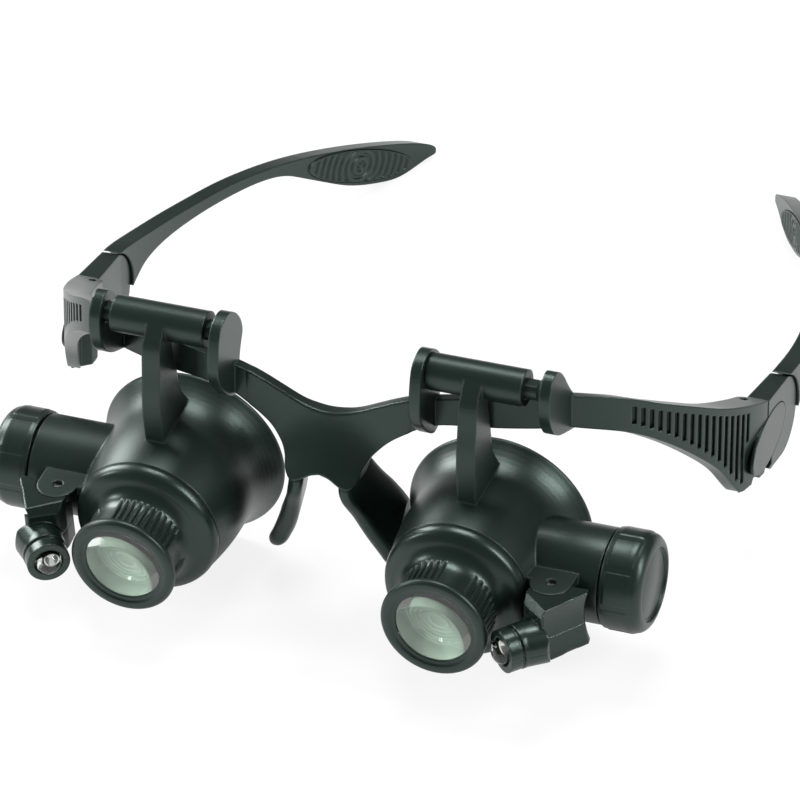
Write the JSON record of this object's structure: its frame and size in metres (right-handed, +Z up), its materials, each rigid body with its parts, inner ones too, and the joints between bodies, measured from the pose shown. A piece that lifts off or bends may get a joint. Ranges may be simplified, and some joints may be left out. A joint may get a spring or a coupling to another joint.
{
  "type": "binocular head magnifier",
  "caption": "Glasses-style front frame with flip-up, sliding magnifier eyepieces, each with a twist-in lens, a coin-cell tube and a swivelling lamp, and folding temples.",
  "frame": {"origin": "centre of the bounding box on the table under the object, at rest with temples open and eyepieces down", "axes": "+Z up, +Y from the lenses towards the back of the head, +X towards the wearer's left"},
  "size_m": [0.1411, 0.1783, 0.059],
  "materials": {
    "shell": "satin, dark grey-green",
    "frame": "satin, dark grey-green",
    "lamp": "smooth, dark grey-green",
    "pad": "satin, slightly paler",
    "rod": "satin",
    "glass": "polished, pale green coating",
    "led": "clear epoxy",
    "steel": "plain",
    "brass": "plain"
  },
  "bodies": {
    "frame": {"front_frame": "frame", "right_fold_pin": "steel", "left_fold_pin": "steel"},
    "right_rod": {"right_hinge_rod": "rod"},
    "right_pod": {"right_pod_shell": "shell", "right_battery_contact": "brass", "right_coin_cells": "steel"},
    "right_lens_unit": {"right_lens_housing": "shell", "right_lens_rim": "shell", "right_objective_lens": "glass"},
    "right_cap": {"right_battery_cap": "shell", "right_cap_spring": "steel"},
    "right_lamp": {"right_lamp_upper_shell": "lamp", "right_lamp_lower_shell": "lamp", "right_lamp_led": "led", "right_lamp_pin": "steel"},
    "right_fold": {"right_fold_knuckle": "frame", "right_tilt_pin": "steel"},
    "right_temple": {"right_temple_arm": "frame", "right_grip_pad": "pad"},
    "left_rod": {"left_hinge_rod": "rod"},
    "left_pod": {"left_pod_shell": "shell", "left_battery_contact": "brass", "left_coin_cells": "steel"},
    "left_lens_unit": {"left_lens_housing": "shell", "left_lens_rim": "shell", "left_objective_lens": "glass"},
    "left_cap": {"left_battery_cap": "shell", "left_cap_spring": "steel"},
    "left_lamp": {"left_lamp_upper_shell": "lamp", "left_lamp_lower_shell": "lamp", "left_lamp_led": "led", "left_lamp_pin": "steel"},
    "left_fold": {"left_fold_knuckle": "frame", "left_tilt_pin": "steel"},
    "left_temple": {"left_temple_arm": "frame", "left_grip_pad": "pad"}
  },
  "joints": [
    {"name": "right_pod_flip", "type": "hinge", "parent": "frame", "child": "right_rod", "pos_m": [-0.032, -0.0585, 0.05478], "axis": [1, 0, 0], "range_deg": [-105.4, 3]},
    {"name": "right_pod_slide", "type": "slide", "parent": "right_rod", "child": "right_pod", "axis": [-1, 0, 0], "range_m": [-0.0006, 0.0016]},
    {"name": "right_lens_twist", "type": "hinge", "parent": "right_pod", "child": "right_lens_unit", "pos_m": [-0.0321, -0.07063, 0.01733], "axis": [0, -0.998, -0.0638], "range_deg": [0, 45]},
    {"name": "right_cap_twist", "type": "hinge", "parent": "right_pod", "child": "right_cap", "pos_m": [-0.0579, -0.05896, 0.01807], "axis": [-1, 0, 0], "range_deg": [0, 90]},
    {"name": "right_lamp_swivel", "type": "hinge", "parent": "right_pod", "child": "right_lamp", "pos_m": [-0.0503, -0.07041, 0.01534], "axis": [0, -0.0638, 0.998], "range_deg": [-11, 5.5]},
    {"name": "right_temple_fold", "type": "hinge", "parent": "frame", "child": "right_fold", "pos_m": [-0.0662, -0.01671, 0.02154], "axis": [0, 0.1174, 0.9931], "range_deg": [-90, 0]},
    {"name": "right_temple_tilt", "type": "hinge", "parent": "right_fold", "child": "right_temple", "pos_m": [-0.0682, -0.00545, 0.01971], "axis": [1, 0, 0], "range_deg": [-6, 6]},
    {"name": "left_pod_flip", "type": "hinge", "parent": "frame", "child": "left_rod", "pos_m": [0.032, -0.0585, 0.05478], "axis": [1, 0, 0], "range_deg": [-101.9, 6]},
    {"name": "left_pod_slide", "type": "slide", "parent": "left_rod", "child": "left_pod", "axis": [1, 0, 0], "range_m": [0, 0.0022]},
    {"name": "left_lens_twist", "type": "hinge", "parent": "left_pod", "child": "left_lens_unit", "pos_m": [0.0303, -0.0729, 0.01814], "axis": [0, -1, -0.0028], "range_deg": [0, 45]},
    {"name": "left_cap_twist", "type": "hinge", "parent": "left_pod", "child": "left_cap", "pos_m": [0.0561, -0.0612, 0.01817], "axis": [1, 0, 0], "range_deg": [0, 90]},
    {"name": "left_lamp_swivel", "type": "hinge", "parent": "left_pod", "child": "left_lamp", "pos_m": [0.0485, -0.07279, 0.01614], "axis": [0, -0.0028, 1], "range_deg": [-0.5, 16]},
    {"name": "left_temple_fold", "type": "hinge", "parent": "frame", "child": "left_fold", "pos_m": [0.0662, -0.01671, 0.02154], "axis": [0, 0.1174, 0.9931], "range_deg": [0, 90]},
    {"name": "left_temple_tilt", "type": "hinge", "parent": "left_fold", "child": "left_temple", "pos_m": [0.0682, -0.00545, 0.01971], "axis": [1, 0, 0], "range_deg": [-6, 6]}
  ]
}
